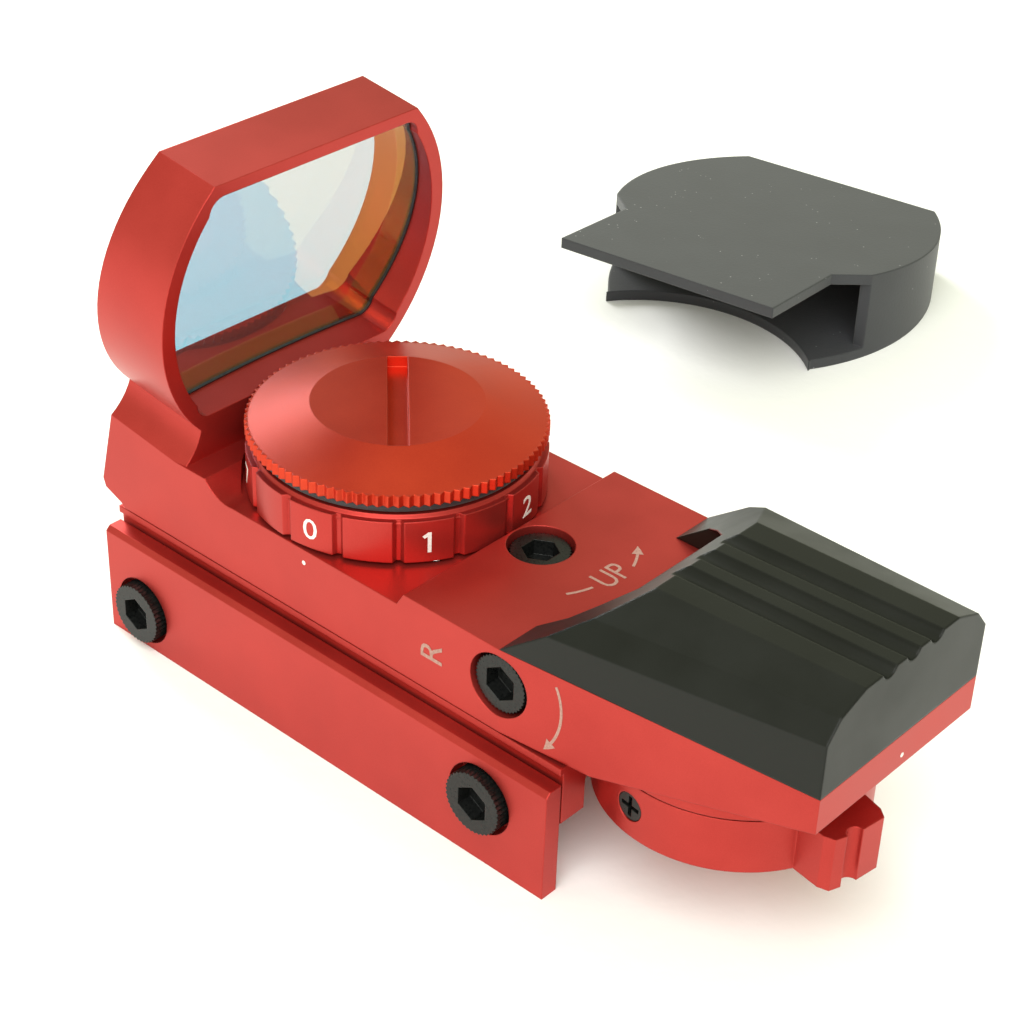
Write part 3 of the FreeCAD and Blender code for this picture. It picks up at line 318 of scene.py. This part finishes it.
silvering = {"colour": (0.93, 0.93, 0.94), "roughness": (0.02, 0.06), "haze": 1.5 * mm}


def makeMirror():
    finish = Finish("frontMirror")
    haze = finish.noise(silvering["haze"], 2.0)
    return finish.done(finish.surface({
        "Base Color": silvering["colour"],
        "Metallic": 1.0,
        "Roughness": finish.remap(haze, 0.3, 0.7, *silvering["roughness"]),
    }))


board = {
    "light": (0.012, 0.10, 0.038),
    "dark": (0.008, 0.075, 0.028),
    "roughness": 0.32,
    "weave": 0.4 * mm,
    "weaveBump": (0.1, 0.02 * mm),
}


def makeBoard():
    finish = Finish("circuitBoard")
    weave = finish.node("TexChecker", {}, {"Vector": finish.place, "Scale": 1.0 / board["weave"]}, 1)
    return finish.done(finish.surface({
        "Base Color": finish.mixColour(weave, board["dark"], board["light"]),
        "Roughness": board["roughness"],
        "Normal": finish.bump(weave, *board["weaveBump"]),
    }))


redLamp = {
    "light": (0.85, 0.03, 0.02),
    "dark": (0.65, 0.01, 0.01),
    "roughness": 0.12,
    "coat": 0.5,
    "cloud": 0.6 * mm,
}


def makeRedLamp():
    finish = Finish("redLamp")
    cloud = finish.noise(redLamp["cloud"], 1.0)
    return finish.done(finish.surface({
        "Base Color": finish.mixColour(cloud, redLamp["dark"], redLamp["light"]),
        "Roughness": redLamp["roughness"],
        "Coat Weight": redLamp["coat"],
    }))


# the white fill of the numbers and dots, and the duller etched marks
etching = {
    "white": {"light": (0.82, 0.80, 0.78), "dark": (0.68, 0.65, 0.62)},
    "etched": {"light": (0.44, 0.25, 0.21), "dark": (0.33, 0.16, 0.13)},
    "roughness": 0.65,
    "grain": 0.18 * mm,
    "grainBump": (0.3, 0.02 * mm),
}


def makeEtched(name, tone):
    finish = Finish(name)
    grain = finish.noise(etching["grain"], 2.0)
    mixed = finish.remap(grain, 0.3, 0.7, 0.0, 1.0)
    return finish.done(finish.surface({
        "Base Color": finish.mixColour(mixed, tone["dark"], tone["light"]),
        "Roughness": etching["roughness"],
        "Normal": finish.bump(grain, *etching["grainBump"]),
    }))


finishes = {
    "red": makeAnodised("redAnodised", anodising["bodyRed"], anodising["shadeRed"]),
    # the cap's finish carries painted highlight: its red is brightened towards orange to stand in for light
    # on it
    "cap": makeAnodised("capAnodisedPaintedHighlight", anodising["capPaintedHighlightRed"], anodising["capPaintedHighlightDark"], turned=True),
    "oxide": makeMetal("oxide"),
    "steel": makeMetal("steel"),
    "wire": makeMetal("wire"),
    "brass": makeMetal("brass"),
    "nickel": makeMetal("nickel"),
    "plastic": makePlastic(),
    "rubber": makeRubber(),
    "bead": makeBead(),
    "lens": makeLens(),
    "pane": makeWindow(),
    "mirror": makeMirror(),
    "board": makeBoard(),
    "lamp": makeRedLamp(),
    "white": makeEtched("whiteFill", etching["white"]),
    "etched": makeEtched("etchedMark", etching["etched"]),
}

nodeFinish = {
    "red": ["rail_base", "clamp_plate", "housing", "dial_ring", "selector_disc"],
    "cap": ["battery_cap"],
    "oxide": ["clamp_screw_front", "clamp_screw_rear", "clamp_nuts", "elevation_screw", "windage_screw",
              "selector_screw"],
    "steel": ["swivel_plate", "swivel_screw", "pivot_pin", "dial_screw", "dial_detent_ball", "cover_screws",
              "selector_spindle", "reticle_disc", "selector_detent_ball"],
    "wire": ["elevation_clip", "windage_clip", "elevation_spring", "battery_contact", "dimmer_wiper",
             "dial_detent_spring", "selector_detent_spring"],
    "brass": ["windage_nut"],
    "nickel": ["battery"],
    "plastic": ["rear_cover", "mirror_bracket"],
    "rubber": ["lens_cover", "cap_oring"],
    "bead": ["lens_seal"],
    "lens": ["lens"],
    "pane": ["emitter_window"],
    "mirror": ["mirror"],
    "board": ["dimmer_board", "led_board"],
    "lamp": ["led"],
}
for finishName, members in nodeFinish.items():
    for member in members:
        mesh = nodes[member].data
        mesh.materials.clear()
        mesh.materials.append(finishes[finishName])
print("finishes made")


def settle(piece, body, finishName):
    bpy.ops.object.select_all(action="DESELECT")
    piece.select_set(True)
    bpy.context.view_layer.objects.active = piece
    bpy.ops.object.transform_apply(location=True, rotation=True, scale=True)
    piece.data.materials.clear()
    piece.data.materials.append(finishes[finishName])
    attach(piece, body)
    bpy.ops.object.select_all(action="DESELECT")


# thickness of every raised mark, how far it sits in the surface, and the gap that its doubles close
markDepth = 0.05 * mm
markSunk = 0.02 * mm
markMerge = 0.004 * mm
curveSteps = 3


def letterMesh(text, height, name):
    bpy.ops.object.select_all(action="DESELECT")
    bpy.ops.object.text_add(location=(0, 0, 0))
    letters = bpy.context.object
    letters.name = name
    letters.data.body = text
    letters.data.align_x = "CENTER"
    letters.data.resolution_u = curveSteps
    bpy.ops.object.convert(target="MESH")
    bpy.context.view_layer.update()
    corners = [v.co.copy() for v in letters.data.vertices]
    low = Vector([min(c[k] for c in corners) for k in range(3)])
    high = Vector([max(c[k] for c in corners) for k in range(3)])
    scale = height / (high.y - low.y)
    middle = (low + high) / 2
    for vertex in letters.data.vertices:
        vertex.co = (vertex.co - middle) * scale
    bpy.ops.object.mode_set(mode="EDIT")
    bpy.ops.mesh.select_all(action="SELECT")
    bpy.ops.mesh.remove_doubles(threshold=markMerge)
    bpy.ops.mesh.extrude_region_move(TRANSFORM_OT_translate={"value": (0, 0, markDepth)})
    bpy.ops.mesh.select_all(action="SELECT")
    bpy.ops.mesh.normals_make_consistent(inside=False)
    bpy.ops.object.mode_set(mode="OBJECT")
    return letters


def strip(points, width, name):
    bpy.ops.object.select_all(action="DESELECT")
    bpy.ops.mesh.primitive_plane_add(size=1, location=(0, 0, 0))
    ribbon = bpy.context.object
    ribbon.name = name
    corners = []
    for index, point in enumerate(points):
        before = points[max(index - 1, 0)]
        after = points[min(index + 1, len(points) - 1)]
        along = (Vector(after) - Vector(before)).normalized()
        across = Vector((-along.y, along.x)) * width[index] / 2
        corners.append((*(Vector(point) + across), 0.0))
        corners.append((*(Vector(point) - across), 0.0))
    faces = [(2 * k, 2 * k + 1, 2 * k + 3, 2 * k + 2) for k in range(len(points) - 1)]
    ribbon.data.clear_geometry()
    ribbon.data.from_pydata(corners, [], faces)
    bpy.context.view_layer.objects.active = ribbon
    ribbon.select_set(True)
    bpy.ops.object.mode_set(mode="EDIT")
    bpy.ops.mesh.select_all(action="SELECT")
    bpy.ops.mesh.extrude_region_move(TRANSFORM_OT_translate={"value": (0, 0, markDepth)})
    bpy.ops.mesh.select_all(action="SELECT")
    bpy.ops.mesh.normals_make_consistent(inside=False)
    bpy.ops.object.mode_set(mode="OBJECT")
    return ribbon


# numbers on the rim of the dimmer dial, one on every other pad
dialNumbers = {
    "count": 8,
    "firstAngle": -168.75,
    "pitch": 45.0,
    "height": 2.05 * mm,
    "widen": 1.12,
    "middle": 0.44,
    "oneStroke": 0.30 * mm,
    "oneFlag": 0.48 * mm,
    "flagTip": (0.1, 0.2),
}


def numberMesh(number):
    name = f"dialNumber{number}"
    if number != 1:
        return letterMesh(str(number), dialNumbers["height"], name)
    half, flag = dialNumbers["height"] / 2, dialNumbers["oneFlag"]
    width = [dialNumbers["oneStroke"]] * 2
    past, drop = dialNumbers["flagTip"]
    stem = strip([(0, -half), (0, half)], width, name)
    serif = strip([(-flag, half - flag), (past * flag, half - drop * flag)], width, "dialNumberFlag")
    bpy.ops.object.select_all(action="DESELECT")
    serif.select_set(True)
    stem.select_set(True)
    bpy.context.view_layer.objects.active = stem
    bpy.ops.object.join()
    return bpy.context.object


def addDialNumbers():
    low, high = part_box("dial_ring")
    axisX = (low.x + high.x) / 2
    axisY = (low.y + high.y) / 2
    radius = (high.x - low.x) / 2 - markSunk
    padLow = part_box("dimmer_wiper")[1].z
    level = padLow + dialNumbers["middle"] * (high.z - padLow)
    made = []
    for number in range(dialNumbers["count"]):
        digit = numberMesh(number)
        bpy.ops.object.mode_set(mode="EDIT")
        bpy.ops.mesh.select_all(action="SELECT")
        bpy.ops.mesh.subdivide(number_cuts=1)
        bpy.ops.object.mode_set(mode="OBJECT")
        angle = math.radians(dialNumbers["firstAngle"] + number * dialNumbers["pitch"])
        for vertex in digit.data.vertices:
            along, up, out = vertex.co
            turn = angle + along * dialNumbers["widen"] / radius
            reach = radius + out
            vertex.co = (axisX + reach * math.cos(turn), axisY + reach * math.sin(turn), level + up)
        made.append(digit)
    bpy.ops.object.select_all(action="DESELECT")
    for digit in made:
        digit.select_set(True)
    bpy.context.view_layer.objects.active = made[0]
    bpy.ops.object.join()
    numbers = bpy.context.object
    numbers.name = "dialNumbers"
    settle(numbers, "dial", "white")


addDialNumbers()
print("dial numbers done")

# direction marks on the housing: words by the screws, arrows round them, dots by the dial and at the back
marks = {
    "line": 0.26 * mm,
    "narrow": 0.80,
    "deckWord": {"text": "UP", "height": 2.4 * mm, "at": (0.8 * mm, -20.65 * mm)},
    "sideWord": {"text": "R", "height": 2.45 * mm, "at": (-13.42 * mm, 13.1 * mm)},
    "deckArrow": {"radius": 8.45 * mm, "sweep": (-68.2, -46.6), "head": 1.25 * mm},
    "deckDash": {"radius": 7.6 * mm, "sweep": (-122.0, -103.0)},
    "sideArc": {"radius": 6.2 * mm, "sweep": (154.0, 222.0), "head": 1.2 * mm},
    "taperStart": -21.2 * mm,
    "bodyHalf": 13.75 * mm,
    "rearHalf": 10.8 * mm,
    "arcSteps": 14,
    "tipSteps": 2,
    "tipWidths": (4.0, 2.0, 0.02),
    "dotRadius": 0.22 * mm,
    "dotSides": 20,
    "dotEdge": 0.01 * mm,
    "indexDot": {"behind": 2.1 * mm, "height": 14.6 * mm},
    "rearDot": {"aside": 0.6 * mm, "height": 15.0 * mm},
}


def arcPoints(radius, start, end, steps=marks["arcSteps"]):
    turns = [math.radians(start + (end - start) * k / steps) for k in range(steps + 1)]
    return [(radius * math.cos(turn), radius * math.sin(turn)) for turn in turns]


def arrowStrip(radius, start, end, head, name):
    share = math.degrees(head / radius) * (1 if end > start else -1)
    shaft = arcPoints(radius, start, end - share)
    tip = arcPoints(radius, end - share, end, marks["tipSteps"])
    line = marks["line"]
    width = [line] * len(shaft) + [line * part for part in marks["tipWidths"]]
    return strip(shaft + tip, width, name)


def placeMark(piece, origin, right, up):
    out = Vector(right).cross(Vector(up))
    start = Vector(origin) - out * markSunk
    for vertex in piece.data.vertices:
        x, y, z = vertex.co
        vertex.co = start + Vector(right) * x + Vector(up) * y + out * z


def addDot(origin, right, up, name):
    bpy.ops.object.select_all(action="DESELECT")
    bpy.ops.mesh.primitive_cylinder_add(vertices=marks["dotSides"], radius=marks["dotRadius"],
                                        depth=markDepth, location=(0, 0, markDepth / 2))
    dot = bpy.context.object
    dot.name = name
    bpy.ops.object.transform_apply(location=True)
    bpy.ops.object.modifier_add(type="BEVEL")
    dot.modifiers[-1].width = marks["dotEdge"]
    bpy.ops.object.modifier_apply(modifier=dot.modifiers[-1].name)
    placeMark(dot, origin, right, up)
    settle(dot, "housing", "white")


def addMarks():
    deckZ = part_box("rear_cover")[0].z - markSunk
    sideX = -marks["bodyHalf"]
    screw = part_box("elevation_screw")
    screwX = (screw[0].x + screw[1].x) / 2
    screwY = (screw[0].y + screw[1].y) / 2
    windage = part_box("windage_screw")
    windageZ = (windage[0].z + windage[1].z) / 2

    right, up = (1, 0, 0), (0, 1, 0)
    word = marks["deckWord"]
    letters = letterMesh(word["text"], word["height"], "deckWord")
    placeMark(letters, (*word["at"], deckZ), (marks["narrow"], 0, 0), up)
    settle(letters, "housing", "etched")
    curve = marks["deckArrow"]
    arrow = arrowStrip(curve["radius"], *curve["sweep"], curve["head"], "deckArrow")
    placeMark(arrow, (screwX, screwY, deckZ), right, up)
    settle(arrow, "housing", "etched")
    curve = marks["deckDash"]
    dashPoints = arcPoints(curve["radius"], *curve["sweep"])
    dash = strip(dashPoints, [marks["line"]] * len(dashPoints), "deckDash")
    placeMark(dash, (screwX, screwY, deckZ), right, up)
    settle(dash, "housing", "etched")

    word = marks["sideWord"]
    letters = letterMesh(word["text"], word["height"], "sideWord")
    placeMark(letters, (sideX, *word["at"]), (0, 0, 1), (0, 1, 0))
    settle(letters, "housing", "etched")

    # the side narrows towards the back, so this arrow lies along the taper
    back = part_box("rear_cover")[0].y
    slope = (marks["bodyHalf"] - marks["rearHalf"]) / (marks["taperStart"] - back)
    forward = Vector((-slope, 1, 0)).normalized()
    curve = marks["sideArc"]
    arrow = arrowStrip(curve["radius"], *curve["sweep"], curve["head"], "sideArrow")
    for vertex in arrow.data.vertices:
        vertex.co.z = markDepth - vertex.co.z
    placeMark(arrow, (sideX, marks["taperStart"], windageZ), forward, (0, 0, 1))
    settle(arrow, "housing", "etched")

    dialY = sum(corner.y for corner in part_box("battery_cap")) / 2
    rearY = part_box("housing")[0].y
    index, rear = marks["indexDot"], marks["rearDot"]
    addDot((sideX, dialY - index["behind"], index["height"]), (0, -1, 0), (0, 0, 1), "indexDot")
    addDot((rear["aside"], rearY, rear["height"]), (1, 0, 0), (0, 0, 1), "rearDot")


addMarks()
print("marks done")


# camera, floor and light
view = {
    "place": (-0.1232, -0.1172, 0.1260),
    "heading": 48.93,
    "dip": 33.2,
    "roll": 2.14,
    "lens": 78.6,
    "sensor": 36.0,
    "clip": (0.005, 20),
}


def addCamera():
    heading, dip, roll = (math.radians(view[key]) for key in ("heading", "dip", "roll"))
    ahead = Vector((math.sin(heading) * math.cos(dip), math.cos(heading) * math.cos(dip), -math.sin(dip)))
    flatRight = Vector((math.cos(heading), -math.sin(heading), 0))
    right = flatRight * math.cos(roll) + flatRight.cross(ahead) * math.sin(roll)
    up = right.cross(ahead)
    lens = bpy.data.cameras.new("viewCamera")
    lens.lens = view["lens"]
    lens.sensor_width = view["sensor"]
    lens.clip_start, lens.clip_end = view["clip"]
    camera = bpy.data.objects.new("viewCamera", lens)
    bpy.context.scene.collection.objects.link(camera)
    turn = Matrix((right, up, -ahead)).transposed()
    camera.matrix_world = Matrix.Translation(view["place"]) @ turn.to_4x4()
    bpy.context.scene.camera = camera


studio = {
    "floorSize": 6.0,
    "floorGap": 0.02 * mm,
    "floorColour": (0.94, 0.94, 0.94),
    "floorRoughness": 0.55,
    "floorGrain": 2.2 * mm,
    "floorBump": (0.25, 0.2 * mm),
    "skyColour": (1.0, 1.04, 0.74),
    "skyStrength": 0.68,
    "lamps": [
        {"name": "softBox", "at": (0.18, 0.56, 0.30), "size": 0.30, "power": 3.0},
        {"name": "nearFill", "at": (-0.48, -0.30, 0.62), "size": 0.90, "power": 8.6},
    ],
}


def addStudio():
    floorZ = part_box("clamp_plate")[0].z - studio["floorGap"]
    bpy.ops.object.select_all(action="DESELECT")
    bpy.ops.mesh.primitive_plane_add(size=studio["floorSize"], location=(0, 0, floorZ))
    floor = bpy.context.object
    floor.name = "studioFloor"
    finish = Finish("paleFloor")
    texture = finish.noise(studio["floorGrain"], 2.0)
    floor.data.materials.append(finish.done(finish.surface({
        "Base Color": studio["floorColour"],
        "Roughness": studio["floorRoughness"],
        "Normal": finish.bump(texture, *studio["floorBump"]),
    })))
    world = bpy.data.worlds.new("studioSky")
    bpy.context.scene.world = world
    world.use_nodes = True
    sky = world.node_tree.nodes["Background"]
    sky.inputs["Color"].default_value = (*studio["skyColour"], 1.0)
    sky.inputs["Strength"].default_value = studio["skyStrength"]
    for lamp in studio["lamps"]:
        light = bpy.data.lights.new(lamp["name"], "AREA")
        light.shape = "DISK"
        light.size = lamp["size"]
        light.energy = lamp["power"]
        holder = bpy.data.objects.new(lamp["name"], light)
        bpy.context.scene.collection.objects.link(holder)
        holder.location = lamp["at"]
        holder.rotation_euler = (-Vector(lamp["at"])).to_track_quat("-Z", "Y").to_euler()
    bpy.context.scene.view_settings.view_transform = "Standard"


addCamera()
addStudio()
print("studio done")
